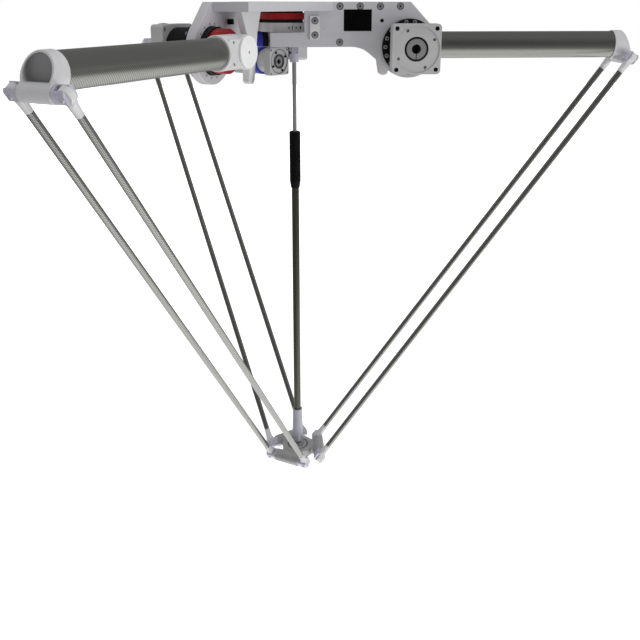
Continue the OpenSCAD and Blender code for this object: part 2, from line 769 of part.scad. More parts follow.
// Lower fitting: socket for the carbon tube, flared foot with a cross slot, shaft below.
module shaft_fitting() color(aluminium) {
  difference() {
    union() {
      translate([0, 0, fitting_top - socket_depth]) cylinder(r = fitting_r, h = socket_depth);
      translate([0, 0, platform_top + face_gap])
        cylinder(r1 = fitting_r + 3, r2 = fitting_r, h = fitting_len - socket_depth - face_gap + eps);
    }
    translate([0, 0, fitting_top - socket_depth]) cylinder(r = shaft_tube_r + run_gap, h = socket_depth + 1);
    translate([-8, -2 * fitting_r, platform_top + 9]) cube([16, 4 * fitting_r, 4]);
  }
  translate([0, 0, platform_top - platform_t - face_gap])
    cylinder(r = foot_shaft_r, h = platform_t + 2 * face_gap + eps);
}

// ---- Platform ----

module platform() color(aluminium) difference() {
  union() {
    translate([0, 0, platform_z - platform_t / 2]) cylinder(r = platform_body_r, h = platform_t);
    for (k = [0:2]) station(k) {
      translate([0, -spoke_w / 2, platform_z - spoke_t / 2]) cube([platform_r, spoke_w, spoke_t]);
      translate([platform_r, 0, platform_z]) along_v(bar_r, -bar_half, bar_half);
    }
  }
  translate([0, 0, platform_z - platform_t]) cylinder(r = foot_shaft_r + run_gap, h = 2 * platform_t);
  translate([0, 0, platform_top - seal_depth]) rotate_extrude() translate([seal_r, 0]) square([3, seal_depth + 1]);
}

module tool_flange() color(bright) translate([0, 0, platform_z - platform_t / 2 - face_gap - tool_flange_t]) difference() {
  cylinder(r = tool_flange_r, h = tool_flange_t);
  translate([0, 0, -1]) cylinder(r = tool_bore_r, h = tool_flange_t + 2);
  for (i = [0:3]) rotate(45 + 90 * i) translate([tool_bolt_circle_r, 0, -1])
    cylinder(r = tool_bolt_r, h = tool_flange_t + 2);
}

// ---- Node switch ----

top_plate();
side_plate(0, long_start);  // long_plate_a
side_plate(1, side_start);  // long_plate_b
side_plate(2, side_start);  // long_plate_c
stop_bracket(0);  // stop_bracket_a
stop_bracket(1);  // stop_bracket_b
stop_bracket(2);  // stop_bracket_c
gearbox(0);  // gearbox_a
gearbox(1);  // gearbox_b
gearbox(2);  // gearbox_c
motor_adapter(0);  // motor_adapter_a
motor_adapter(1);  // motor_adapter_b
motor_adapter(2);  // motor_adapter_c
input_hub(0);  // input_hub_a
input_hub(1);  // input_hub_b
input_hub(2);  // input_hub_c
cap_screws();
case_strap();
axis4_gear_case();
axis4_core();
axis4_cover();
axis4_gearbox();
axis4_adapter();
axis4_ring();
axis4_input_hub();
hub_ring(0, red);  // hub_ring_a
hub_ring(1, blue);  // hub_ring_b
hub_ring(2, red);  // hub_ring_c
arm_root(0);  // arm_root_a
arm_root(1);  // arm_root_b
arm_root(2);  // arm_root_c
hub_cap(0);  // hub_cap_a
hub_cap(1);  // hub_cap_b
hub_cap(2);  // hub_cap_c
arm_tube(0);  // arm_tube_a
arm_tube(1);  // arm_tube_b
arm_tube(2);  // arm_tube_c
elbow_casting(0);  // elbow_casting_a
elbow_casting(1);  // elbow_casting_b
elbow_casting(2);  // elbow_casting_c
rod_tube(0, -1);  // rod_tube_a1
rod_tube(0, 1);  // rod_tube_a2
rod_tube(1, -1);  // rod_tube_b1
rod_tube(1, 1);  // rod_tube_b2
rod_tube(2, -1);  // rod_tube_c1
rod_tube(2, 1);  // rod_tube_c2
rod_ends(0);  // rod_ends_a
rod_ends(1);  // rod_ends_b
rod_ends(2);  // rod_ends_c
rod_blocks(0);  // rod_blocks_a
rod_blocks(1);  // rod_blocks_b
rod_blocks(2);  // rod_blocks_c
drive_yoke();
shaft_yoke();
inner_shaft();
guide_sleeve();
shaft_tube();
shaft_fitting();
platform();
tool_flange();
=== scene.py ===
# %% [markdown]
# # A ceiling-hung delta robot
# The robot has a pinwheel frame, three geared shoulders, three carbon arms, three pairs of
# carbon rods, a small platform and a telescopic shaft down the middle. Its exact solids are
# loaded first. Everything after that adds what solids lack: eased edges, cast skin, machined
# grain, wound carbon and small fasteners. Last comes a studio to hang it in.

import json
import math

import bpy
from mathutils import Matrix, Vector

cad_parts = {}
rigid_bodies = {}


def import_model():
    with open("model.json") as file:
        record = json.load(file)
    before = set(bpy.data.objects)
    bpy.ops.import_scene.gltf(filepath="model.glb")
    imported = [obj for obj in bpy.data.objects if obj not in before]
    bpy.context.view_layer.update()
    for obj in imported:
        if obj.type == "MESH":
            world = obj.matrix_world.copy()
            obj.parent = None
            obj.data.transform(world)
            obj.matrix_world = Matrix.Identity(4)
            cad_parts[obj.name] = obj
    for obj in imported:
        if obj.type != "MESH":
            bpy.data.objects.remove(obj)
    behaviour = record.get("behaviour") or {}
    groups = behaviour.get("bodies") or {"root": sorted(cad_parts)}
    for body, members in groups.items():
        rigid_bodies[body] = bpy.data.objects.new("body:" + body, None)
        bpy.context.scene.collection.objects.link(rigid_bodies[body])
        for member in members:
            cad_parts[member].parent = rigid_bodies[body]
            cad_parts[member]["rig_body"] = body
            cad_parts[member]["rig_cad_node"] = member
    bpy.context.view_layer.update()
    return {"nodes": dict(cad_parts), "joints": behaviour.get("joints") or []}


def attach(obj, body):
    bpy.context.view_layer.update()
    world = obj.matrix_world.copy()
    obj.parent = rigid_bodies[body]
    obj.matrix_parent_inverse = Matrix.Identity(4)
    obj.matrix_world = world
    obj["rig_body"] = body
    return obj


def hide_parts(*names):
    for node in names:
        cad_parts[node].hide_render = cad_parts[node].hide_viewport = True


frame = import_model()
nodes = frame["nodes"]

# %% [markdown]
# ## Camera
# The viewer stands in front of the robot, a little to its left and level with its ceiling
# plate, and looks down at it. The view is framed low, with the robot high in the picture.
# A lens shift does that without tilting the camera, so the upright shaft stays upright.

# %% Camera
bpy.ops.object.camera_add(location=(-0.0604, -1.7296, 0.0036))
camera = bpy.context.object
camera.name = "studio_camera"
camera.rotation_euler = (math.radians(73.06), 0.0, math.radians(-3.9))
camera.data.sensor_width = 36.0
camera.data.lens = 42.95
camera.data.shift_y = -0.1367
bpy.context.scene.camera = camera
print("camera at", tuple(round(v, 3) for v in camera.location))

# %% [markdown]
# ## Where things are
# A station is one shoulder with its arm. Station a points along +X, b and c are 120 and 240
# degrees further round. In a station, u runs outwards and v sideways, with the gearbox at -v.
# Working in u, v and z lets each detail be made once and turned into its three places. The
# joints that come with the solids say where the axes lie, so nothing is measured twice.

# %% Station geometry
STATIONS = {"a": 0.0, "b": 120.0, "c": 240.0}
ROD_SPREAD, ROD_LENGTH, PLATFORM_R = 0.048, 1.203, 0.053
joints = {joint["name"]: joint for joint in frame["joints"]}
shoulder_u, _, shoulder_z = joints["shoulder_a"]["pos_m"]
elbow_u, _, elbow_z = joints["elbow_a"]["pos_m"]
motor_face = joints["motor_input_a"]["pos_m"][1]


def station_turn(name):
    """The rotation that carries station a onto the named station."""
    return Matrix.Rotation(math.radians(STATIONS[name]), 4, "Z")


def at(name, u, v, z):
    """A point given in a station's u, v and z, in the robot's frame."""
    return station_turn(name) @ Vector((u, v, z))


def level_way(name, u, v):
    """A level direction given in a station's u and v, in the robot's frame."""
    return (at(name, u, v, 0.0) - at(name, 0.0, 0.0, 0.0)).normalized()


rod_lean = math.asin((elbow_u - PLATFORM_R) / ROD_LENGTH)
platform_z = elbow_z - ROD_LENGTH * math.cos(rod_lean)
print("rods lean", round(math.degrees(rod_lean), 2), "degrees; platform at", round(platform_z, 4))

# %% [markdown]
# ## Shared surface effects
# Several finishes share the same few effects, so each effect is a node group with its own
# named inputs. Machined grain is noise stretched along one direction, the way a cutter or a
# belt leaves fine lines, and it also gives slow patches. Cast skin is soft mottling with small
# pits. The carbon wrap winds threads both ways round a tube.


# %% Helpers for node groups
def new_group(name, inputs, outputs):
    """A shader node group with float or vector inputs and float outputs."""
    group = bpy.data.node_groups.new(name, "ShaderNodeTree")
    for label, kind, value in inputs:
        socket = group.interface.new_socket(name=label, in_out="INPUT", socket_type=kind)
        if kind == "NodeSocketFloat":
            socket.default_value = value
    for label in outputs:
        group.interface.new_socket(name=label, in_out="OUTPUT", socket_type="NodeSocketFloat")
    entry = group.nodes.new("NodeGroupInput")
    leave = group.nodes.new("NodeGroupOutput")
    return group, entry, leave


def maths(group, operation, first, second=None):
    """A Math node; each operand is a socket or a number."""
    node = group.nodes.new("ShaderNodeMath")
    node.operation = operation
    for slot, value in enumerate((first, second)):
        if value is None:
            continue
        if isinstance(value, (int, float)):
            node.inputs[slot].default_value = value
        else:
            group.links.new(value, node.inputs[slot])
    return node.outputs[0]


def noise(group, vector, scale, detail=3.0, roughness=0.55):
    """A Noise Texture's value, read at a vector."""
    node = group.nodes.new("ShaderNodeTexNoise")
    node.inputs["Detail"].default_value = detail
    node.inputs["Roughness"].default_value = roughness
    if isinstance(scale, (int, float)):
        node.inputs["Scale"].default_value = scale
    else:
        group.links.new(scale, node.inputs["Scale"])
    group.links.new(vector, node.inputs["Vector"])
    return node.outputs[0]


# %% Machined grain
grain_group, entry, leave = new_group(
    "Machined grain",
    [("Vector", "NodeSocketVector", None), ("Fineness", "NodeSocketFloat", 900.0)],
    ["Lines", "Patches"],
)
fine = noise(grain_group, entry.outputs["Vector"], entry.outputs["Fineness"], 2.0)
wide = noise(grain_group, entry.outputs["Vector"], 14.0, 4.0)
grain_group.links.new(fine, leave.inputs["Lines"])
grain_group.links.new(wide, leave.inputs["Patches"])
print("group:", grain_group.name)

# %% Cast skin
cast_group, entry, leave = new_group(
    "Cast skin",
    [("Vector", "NodeSocketVector", None), ("Fineness", "NodeSocketFloat", 700.0)],
    ["Height", "Mottle"],
)
grit = noise(cast_group, entry.outputs["Vector"], entry.outputs["Fineness"], 4.0, 0.65)
mottle = noise(cast_group, entry.outputs["Vector"], 60.0, 5.0, 0.6)
cast_group.links.new(grit, leave.inputs["Height"])
cast_group.links.new(mottle, leave.inputs["Mottle"])
print("group:", cast_group.name)

# %% Carbon wrap
# The vector's X runs along the tube. Y and Z give the angle round it. Threads climb both ways,
# a whole number of times round, so the pattern closes on itself without a seam.
wrap_group, entry, leave = new_group(
    "Carbon wrap",
    [
        ("Vector", "NodeSocketVector", None),
        ("Starts", "NodeSocketFloat", 12.0),
        ("Pitch", "NodeSocketFloat", 0.03),
        ("Crossing", "NodeSocketFloat", 0.5),
    ],
    ["Threads", "Height"],
)
parts = wrap_group.nodes.new("ShaderNodeSeparateXYZ")
wrap_group.links.new(entry.outputs["Vector"], parts.inputs[0])
angle = maths(wrap_group, "ARCTAN2", parts.outputs[2], parts.outputs[1])
round_phase = maths(wrap_group, "MULTIPLY", angle, entry.outputs["Starts"])
along = maths(wrap_group, "DIVIDE", parts.outputs[0], entry.outputs["Pitch"])
along_phase = maths(wrap_group, "MULTIPLY", along, 2.0 * math.pi)
climb = maths(wrap_group, "SINE", maths(wrap_group, "ADD", along_phase, round_phase))
fall = maths(wrap_group, "SINE", maths(wrap_group, "SUBTRACT", along_phase, round_phase))
weave = maths(wrap_group, "MULTIPLY", maths(wrap_group, "MULTIPLY", climb, fall), entry.outputs["Crossing"])
single = maths(wrap_group, "MULTIPLY", climb, maths(wrap_group, "SUBTRACT", 1.0, entry.outputs["Crossing"]))
both = maths(wrap_group, "ADD", weave, single)
threads = maths(wrap_group, "MULTIPLY", maths(wrap_group, "ADD", both, 1.0), 0.5)
wrap_group.links.new(threads, leave.inputs["Threads"])
wrap_group.links.new(maths(wrap_group, "POWER", threads, 0.6), leave.inputs["Height"])
print("group:", wrap_group.name)

# %% [markdown]
# ## Finishes
# The plates and blocks are milled, which leaves fine lines and slow dull patches. The castings
# have a soft, slightly pitted skin. One flat colour would make either look like plastic, so
# each finish is a Principled shader whose colour, roughness and height come from a shared
# effect. Its fixed values are set on its own sockets.


# %% A new finish
def new_finish(name, metallic, coat=0.0, coat_roughness=0.1):
    """A material with its Principled shader and its own Object coordinates."""
    finish = bpy.data.materials.new(name)
    finish.use_nodes = True
    tree = finish.node_tree
    shader = tree.nodes["Principled BSDF"]
    shader.inputs["Metallic"].default_value = metallic
    shader.inputs["Coat Weight"].default_value = coat
    shader.inputs["Coat Roughness"].default_value = coat_roughness
    place = tree.nodes.new("ShaderNodeTexCoord")
    return finish, tree, shader, place.outputs["Object"]


# %% Placing a pattern on a piece
def stretched(tree, vector, scale):
    """A Mapping node that stretches a pattern."""
    node = tree.nodes.new("ShaderNodeMapping")
    node.inputs["Scale"].default_value = scale
    tree.links.new(vector, node.inputs["Vector"])
    return node.outputs[0]


def laid_along(tree, vector, start, turn):
    """Coordinates seen from a start point, turned so that their X runs along a piece."""
    node = tree.nodes.new("ShaderNodeMapping")
    node.vector_type = "TEXTURE"
    node.inputs["Location"].default_value = start
    node.inputs["Rotation"].default_value = turn
    tree.links.new(vector, node.inputs["Vector"])
    return node.outputs[0]


def use_group(tree, group, vector, **values):
    """Places a node group, joined to a vector, with its own values."""
    node = tree.nodes.new("ShaderNodeGroup")
    node.node_tree = group
    tree.links.new(vector, node.inputs["Vector"])
    for label, value in values.items():
        node.inputs[label].default_value = value
    return node


# %% Masks, colours and height
def vector_maths(tree, operation, vector, other=None):
    """A Vector Math node, on a vector and, where it takes two, a fixed one."""
    node = tree.nodes.new("ShaderNodeVectorMath")
    node.operation = operation
    tree.links.new(vector, node.inputs[0])
    if other is not None:
        node.inputs[1].default_value = other
    return node


def blend_colours(tree, mask, low, high):
    """A colour that runs from low to high as the mask runs from 0 to 1. Low may be a socket."""
    node = tree.nodes.new("ShaderNodeMix")
    node.data_type = "RGBA"
    if isinstance(low, bpy.types.NodeSocket):
        tree.links.new(low, node.inputs["A"])
    else:
        node.inputs["A"].default_value = (*low, 1.0)
    node.inputs["B"].default_value = (*high, 1.0)
    tree.links.new(mask, node.inputs["Factor"])
    return node.outputs["Result"]


def run_between(tree, value, start, end, low, high, kind="SMOOTHSTEP"):
    """A value that runs from low to high while another one runs from start to end."""
    node = tree.nodes.new("ShaderNodeMapRange")
    node.interpolation_type = kind
    for label, number in (("From Min", start), ("From Max", end), ("To Min", low), ("To Max", high)):
        node.inputs[label].default_value = number
    tree.links.new(value, node.inputs["Value"])
    return node.outputs["Result"]


def spread(tree, mask, low, high):
    """A mask's middle stretched onto the values low to high."""
    return run_between(tree, mask, 0.3, 0.7, low, high, "LINEAR")


def raise_surface(tree, shader, height, strength, distance):
    """A Bump node from a height to the shader's normal."""
    node = tree.nodes.new("ShaderNodeBump")
    node.inputs["Strength"].default_value = strength
    node.inputs["Distance"].default_value = distance
    tree.links.new(height, node.inputs["Height"])
    tree.links.new(node.outputs[0], shader.inputs["Normal"])


# %% Machined and cast finishes
def machined_finish(name, low, high, rough, metallic, bump=0.12):
    """Metal with fine parallel lines and slow dull patches."""
    finish, tree, shader, place = new_finish(name, metallic)
    lines = use_group(tree, grain_group, stretched(tree, place, (0.06, 1.0, 1.0)), Fineness=900.0)
    tree.links.new(
        blend_colours(tree, spread(tree, lines.outputs["Patches"], 0.0, 1.0), low, high),
        shader.inputs["Base Color"],
    )
    tree.links.new(spread(tree, lines.outputs["Lines"], *rough), shader.inputs["Roughness"])
    raise_surface(tree, shader, lines.outputs["Lines"], bump, 0.0004)
    return finish


def cast_finish(name, low, high, rough, metallic):
    """Metal or plastic with the soft, pitted skin of a fine casting."""
    finish, tree, shader, place = new_finish(name, metallic)
    skin = use_group(tree, cast_group, place, Fineness=650.0)
    tree.links.new(
        blend_colours(tree, spread(tree, skin.outputs["Mottle"], 0.0, 1.0), low, high),
        shader.inputs["Base Color"],
    )
    tree.links.new(spread(tree, skin.outputs["Mottle"], *rough), shader.inputs["Roughness"])
    raise_surface(tree, shader, skin.outputs["Height"], 0.18, 0.0006)
    return finish


# %% Pale metals
frame_metal = machined_finish(
    "Frame aluminium", (0.60, 0.595, 0.62), (0.67, 0.665, 0.69), rough=(0.36, 0.48), metallic=0.3
)
face_metal = machined_finish(
    "Motor face aluminium", (0.53, 0.53, 0.535), (0.60, 0.60, 0.60), rough=(0.38, 0.5), metallic=0.35
)
light_metal = machined_finish(
    "Light aluminium", (0.68, 0.68, 0.69), (0.75, 0.75, 0.75), rough=(0.42, 0.54), metallic=0.25
)
case_metal = machined_finish(
    "Gear case aluminium", (0.66, 0.66, 0.65), (0.74, 0.74, 0.73), rough=(0.3, 0.4), metallic=0.45
)
platform_metal = cast_finish(
    "Platform casting", (0.40, 0.40, 0.41), (0.54, 0.54, 0.54), rough=(0.4, 0.5), metallic=0.5
)
fitting_metal = machined_finish(
    "Fitting aluminium", (0.42, 0.42, 0.47), (0.50, 0.50, 0.55), rough=(0.34, 0.44), metallic=0.7, bump=0.06
)
joint_steel = machined_finish(
    "Joint steel", (0.60, 0.59, 0.70), (0.68, 0.67, 0.77), rough=(0.18, 0.28), metallic=0.45, bump=0.04
)
screw_metal = machined_finish(
    "Screw steel", (0.40, 0.40, 0.40), (0.48, 0.48, 0.48), rough=(0.4, 0.5), metallic=0.7, bump=0.04
)
print("pale metals:", len(bpy.data.materials))

# %% Dark and coloured metals
shaft_steel = machined_finish(
    "Shaft steel", (0.28, 0.28, 0.285), (0.34, 0.34, 0.345), rough=(0.38, 0.46), metallic=0.45, bump=0.03
)
# The dark grey below is painted shade, for the recess and the groove in the fourth axis's flange.
recess_shade_grey = machined_finish(
    "Recess shade grey", (0.05, 0.05, 0.055), (0.08, 0.08, 0.085), rough=(0.4, 0.5), metallic=0.3, bump=0.03
)
# Black anodised for the gearboxes and other black parts, and also painted shade in the screw sockets and in
# the black cups set into holes.
black_metal_and_shade = machined_finish(
    "Black anodised and painted shade", (0.006, 0.006, 0.007), (0.011, 0.011, 0.011), rough=(0.45, 0.6), metallic=0.0
)
red_metal = machined_finish(
    "Red anodised", (0.36, 0.012, 0.014), (0.46, 0.02, 0.02), rough=(0.3, 0.4), metallic=0.45
)
blue_metal = machined_finish(
    "Blue anodised", (0.035, 0.045, 0.40), (0.05, 0.06, 0.50), rough=(0.3, 0.4), metallic=0.45
)

# %% Plastics and the label
cap_plastic = cast_finish(
    "Cap plastic", (0.76, 0.76, 0.76), (0.82, 0.82, 0.82), rough=(0.5, 0.6), metallic=0.0
)
sleeve_plastic = cast_finish(
    "Guide sleeve plastic", (0.002, 0.002, 0.002), (0.005, 0.005, 0.005), rough=(0.35, 0.5), metallic=0.0
)
label_black = cast_finish(
    "Label black", (0.0015, 0.0015, 0.0015), (0.003, 0.003, 0.003), rough=(0.5, 0.6), metallic=0.0
)
for dark, gloss in ((black_metal_and_shade, 0.2), (label_black, 0.06), (sleeve_plastic, 0.15)):
    dark.node_tree.nodes["Principled BSDF"].inputs["Specular IOR Level"].default_value = gloss
print("finishes so far:", len(bpy.data.materials))

# %% [markdown]
# ## Painted elbows with painted shade in the mouth
# The elbow castings are painted, and inside their open mouth a darker grey is painted on as
# shade. A second material on its faces would end in a ragged line, because the faces of a cast
# skin don't stop at the rim. So the colour changes with the distance from the arm's middle line,
# and the painted shade fades out a little beyond the mouth's floor, which gives a clean edge.

# %% Elbow finishes
# The grey below is painted shade for the inside of the elbows' open mouths, and the two depths say where it
# starts to fade and where it ends.
MOUTH_R, MOUTH_FLOOR = 0.0276, 0.493
RIM_BLUR, SHADE_START, SHADE_END = 0.0002, 0.004, 0.014
MOUTH_SHADE_GREY = (0.28, 0.28, 0.285)


def elbow_finish(name):
    """A painted casting with painted shade in its open mouth: a darker grey inside it."""
    finish = cast_finish("Elbow casting " + name, (0.64, 0.64, 0.65), (0.71, 0.71, 0.72), (0.42, 0.52), 0.25)
    tree = finish.node_tree
    colour = tree.nodes["Principled BSDF"].inputs["Base Color"]
    place = tree.nodes["Texture Coordinate"].outputs["Object"]
    shoulder = at(name, shoulder_u, 0.0, shoulder_z)
    along_arm = laid_along(tree, place, shoulder, (0.0, 0.0, math.radians(STATIONS[name])))
    along = vector_maths(tree, "DOT_PRODUCT", along_arm, (1.0, 0.0, 0.0)).outputs["Value"]
    across = vector_maths(tree, "MULTIPLY", along_arm, (0.0, 1.0, 1.0)).outputs["Vector"]
    radius = vector_maths(tree, "LENGTH", across).outputs["Value"]
    # Painted shade: full grey within the mouth's radius near its floor, fading out towards the opening.
    inside = run_between(tree, radius, MOUTH_R - RIM_BLUR, MOUTH_R + RIM_BLUR, 1.0, 0.0)
    deep = run_between(tree, along, MOUTH_FLOOR + SHADE_START, MOUTH_FLOOR + SHADE_END, 1.0, 0.0)
    painted_shade = maths(tree, "MULTIPLY", inside, deep)
    tree.links.new(blend_colours(tree, painted_shade, colour.links[0].from_socket, MOUTH_SHADE_GREY), colour)
    return finish


elbow_finishes = {name: elbow_finish(name) for name in STATIONS}
print("elbow finishes:", len(elbow_finishes))

# %% [markdown]
# ## Wound carbon
# Arms, rods and the shaft's tube are wound from carbon threads under clear lacquer. The winding
# has to follow each tube, and the tubes lean all ways, so each tube has a material of its own.
# Its coordinates start at one end of the tube and run along it. The arms show steep, fine
# bands, and the thin rods and the shaft a bold criss-cross.

# %% Three windings
ARM_WINDING = {
    "starts": -38.0,
    "pitch": 0.0048,
    "crossing": 0.12,
    "low": (0.22, 0.222, 0.20),
    "high": (0.40, 0.40, 0.375),
}
ROD_WINDING = {
    "starts": 7.0,
    "pitch": 0.0067,
    "crossing": 0.8,
    "low": (0.07, 0.072, 0.06),
    "high": (0.66, 0.66, 0.63),
}
SHAFT_WINDING = {
    "starts": 6.0,
    "pitch": 0.009,
    "crossing": 0.8,
    "low": (0.06, 0.062, 0.045),
    "high": (0.19, 0.194, 0.147),
}
print("threads on arm, rod and shaft:", [w["starts"] for w in (ARM_WINDING, ROD_WINDING, SHAFT_WINDING)])


# %% Carbon finish
def carbon_finish(name, start, way, starts, pitch, crossing, low, high):
    """Wound carbon under clear lacquer, laid along one tube from its start."""
    finish, tree, shader, place = new_finish(name, 0.95, coat=0.1, coat_roughness=0.25)
    along_tube = laid_along(tree, place, start, way.to_track_quat("X", "Z").to_euler())
    wrap = use_group(tree, wrap_group, along_tube, Starts=starts, Pitch=pitch, Crossing=crossing)
    tree.links.new(blend_colours(tree, wrap.outputs["Threads"], low, high), shader.inputs["Base Color"])
    tree.links.new(spread(tree, wrap.outputs["Threads"], 0.42, 0.28), shader.inputs["Roughness"])
    raise_surface(tree, shader, wrap.outputs["Height"], 0.15, 0.0004)
    return finish


# %% Dress the carbon tubes
def rod_line(name, side):
    """Start point and direction of a rod, from its elbow joint to its platform joint."""
    top = at(name, elbow_u, side * ROD_SPREAD, elbow_z)
    foot = at(name, PLATFORM_R, side * ROD_SPREAD, platform_z)
    return top, (foot - top).normalized()


def dress(node, finish):
    """Gives a CAD node its finish."""
    nodes[node].data.materials.clear()
    nodes[node].data.materials.append(finish)


for name in STATIONS:
    shoulder = at(name, shoulder_u, 0.0, shoulder_z)
    arm_carbon = carbon_finish("Arm carbon " + name, shoulder, level_way(name, 1.0, 0.0), **ARM_WINDING)
    dress("arm_tube_" + name, arm_carbon)
    for number, side in (("1", -1), ("2", 1)):
        rod_carbon = carbon_finish("Rod carbon " + name + number, *rod_line(name, side), **ROD_WINDING)
        dress("rod_tube_" + name + number, rod_carbon)
shaft_carbon = carbon_finish("Shaft carbon", Vector((0, 0, 0)), Vector((0, 0, -1)), **SHAFT_WINDING)
dress("shaft_tube", shaft_carbon)
print("carbon tubes:", sum(1 for m in bpy.data.materials if "carbon" in m.name))

# %% Dress the rest of the robot
for name in STATIONS:
    dress("long_plate_" + name, frame_metal)
    dress("stop_bracket_" + name, light_metal)
    dress("gearbox_" + name, black_metal_and_shade)
    dress("motor_adapter_" + name, face_metal)
    dress("input_hub_" + name, shaft_steel)
    dress("hub_ring_" + name, blue_metal if name == "b" else red_metal)
    dress("arm_root_" + name, light_metal)
    dress("hub_cap_" + name, cap_plastic)
    dress("elbow_casting_" + name, elbow_finishes[name])
    dress("rod_ends_" + name, light_metal)
    dress("rod_blocks_" + name, joint_steel)
for node, finish in {
    "top_plate": frame_metal,
    "cap_screws": screw_metal,
    "case_strap": light_metal,
    "axis4_gear_case": case_metal,
    "axis4_core": black_metal_and_shade,
    "axis4_cover": red_metal,
    "axis4_gearbox": case_metal,
    "axis4_adapter": face_metal,
    "axis4_ring": blue_metal,
    "axis4_input_hub": shaft_steel,
    "drive_yoke": joint_steel,
    "shaft_yoke": joint_steel,
    "inner_shaft": shaft_steel,
    "guide_sleeve": sleeve_plastic,
    "shaft_fitting": fitting_metal,
    "platform": platform_metal,
    "tool_flange": light_metal,
}.items():
    dress(node, finish)
print("nodes dressed:", sum(1 for n in nodes.values() if n.data.materials))

# %% [markdown]
# ## Modelling helpers
# New pieces are made with the same operators as by hand. An operator acts on everything that
# is selected, so each helper first clears the selection. Copies of the robot's solids have
# their loose triangles merged, and flat areas joined up, before anything shapes them.


# %% Selecting pieces and faces
FLAT = 0.9  # how far a face's normal has to point one way


def start_fresh():
    """Leaves edit mode and deselects everything."""
    if bpy.context.object and bpy.context.object.mode != "OBJECT":
        bpy.ops.object.mode_set(mode="OBJECT")
    bpy.ops.object.select_all(action="DESELECT")


def only(piece):
    """Selects one piece and makes it the active one."""
    start_fresh()
    piece.select_set(True)
    bpy.context.view_layer.objects.active = piece
    return piece


def pick_faces(piece, wanted):
    """Goes into edit mode with the faces selected for which wanted(middle, normal) is true."""
    only(piece)
    bpy.ops.object.mode_set(mode="EDIT")
    bpy.ops.mesh.select_mode(type="FACE")
    bpy.ops.mesh.select_all(action="DESELECT")
    bpy.ops.object.mode_set(mode="OBJECT")
    for face in piece.data.polygons:
        face.select = bool(wanted(face.center, face.normal))
    bpy.ops.object.mode_set(mode="EDIT")


def looks_up(middle, normal):
    """True for a face that looks up."""
    return normal.z > FLAT


def looks_down(middle, normal):
    """True for a face that looks down."""
    return normal.z < -FLAT


def looks_forward(middle, normal):
    """True for a face that looks to the front."""
    return normal.y < -FLAT


# %% Shaping and shading
def modify(piece, kind, **settings):
    """Adds a modifier, sets its values and applies it."""
    only(piece)
    bpy.ops.object.modifier_add(type=kind)
    modifier = piece.modifiers[-1]
    for label, value in settings.items():
        setattr(modifier, label, value)
    bpy.ops.object.modifier_apply(modifier=modifier.name)
    return piece


def soften_shading(piece, degrees=30.0):
    """Smooth shading, but with every edge steeper than the angle kept crisp."""
    only(piece)
    bpy.ops.object.shade_smooth_by_angle(angle=math.radians(degrees))
    return piece


# %% Copying, joining and discarding
def copy_to(master, matrix):
    """A copy of a master piece with its own mesh, moved to its place within the mesh."""
    only(master)
    bpy.ops.object.duplicate()
    copy = bpy.context.object
    copy.data.transform(matrix)
    return copy


def join_up(pieces, name):
    """Joins pieces into one."""
    start_fresh()
    for piece in pieces:
        piece.select_set(True)
    bpy.context.view_layer.objects.active = pieces[0]
    if len(pieces) > 1:
        bpy.ops.object.join()
    bpy.context.object.name = name
    return bpy.context.object


def discard(piece):
    """Removes a master that is no longer needed."""
    only(piece)
    bpy.ops.object.delete()


# %% Drums and blocks to start from
def add_drum(radius, depth, top=0.0, vertices=32):
    """A cylinder along +Z, with its upper end at a height."""
    start_fresh()
    bpy.ops.mesh.primitive_cylinder_add(
        vertices=vertices, radius=radius, depth=depth, location=(0.0, 0.0, top - depth / 2)
    )
    bpy.ops.object.transform_apply(location=True, rotation=True, scale=True)
    return bpy.context.object


def add_block(middle, size):
    """A box with its middle at a place."""
    start_fresh()
    bpy.ops.mesh.primitive_cube_add(size=1.0, location=middle, scale=size)
    bpy.ops.object.transform_apply(location=True, rotation=True, scale=True)
    return bpy.context.object


# %% Finishing a piece
made = {}


def finish_piece(piece, name, body, finish, stands_for=()):
    """Names and dresses a piece, and lets it ride on its body."""
    piece.name = name
    piece.data.name = name
    if piece.data.materials:
        piece.data.materials[0] = finish
    else:
        piece.data.materials.append(finish)
    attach(piece, body)
    if stands_for:
        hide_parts(*stands_for)
    made[name] = piece
    return piece


def solid_copy(node):
    """A copy of one of the robot's solids, with its triangles merged and its flats joined up."""
    only(nodes[node])
    bpy.ops.object.duplicate()
    copy = bpy.context.object
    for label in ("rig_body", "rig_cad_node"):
        if label in copy:
            del copy[label]
    bpy.ops.object.parent_clear(type="CLEAR_KEEP_TRANSFORM")
    bpy.ops.object.mode_set(mode="EDIT")
    bpy.ops.mesh.select_all(action="SELECT")
    bpy.ops.mesh.remove_doubles(threshold=0.000002)
    bpy.ops.mesh.dissolve_limited(angle_limit=math.radians(0.4))
    bpy.ops.object.mode_set(mode="OBJECT")
    bpy.ops.mesh.customdata_custom_splitnormals_clear()
    copy.data.materials.clear()
    return copy


print("helpers are ready; pieces made so far:", len(made))

# %% [markdown]
# ## Eased edges
# No machined plate has knife edges: the shop runs a chamfer of a few tenths of a millimetre
# round it, and that chamfer is what catches the light. A bevel with one segment, limited to
# sharp angles, gives exactly that. Round surfaces are left as they are.


# %% Chamfered plates, adapters and blocks
def ease_edges(node, width, body, finish):
    """Stands a chamfered copy in for a machined solid."""
    copy = solid_copy(node)
    sharp = {"limit_method": "ANGLE", "angle_limit": math.radians(40.0)}
    modify(copy, "BEVEL", width=width, segments=1, use_clamp_overlap=True, **sharp)
    soften_shading(copy)
    finish_piece(copy, node + "_eased", body, finish, (node,))
    return len(copy.data.polygons)


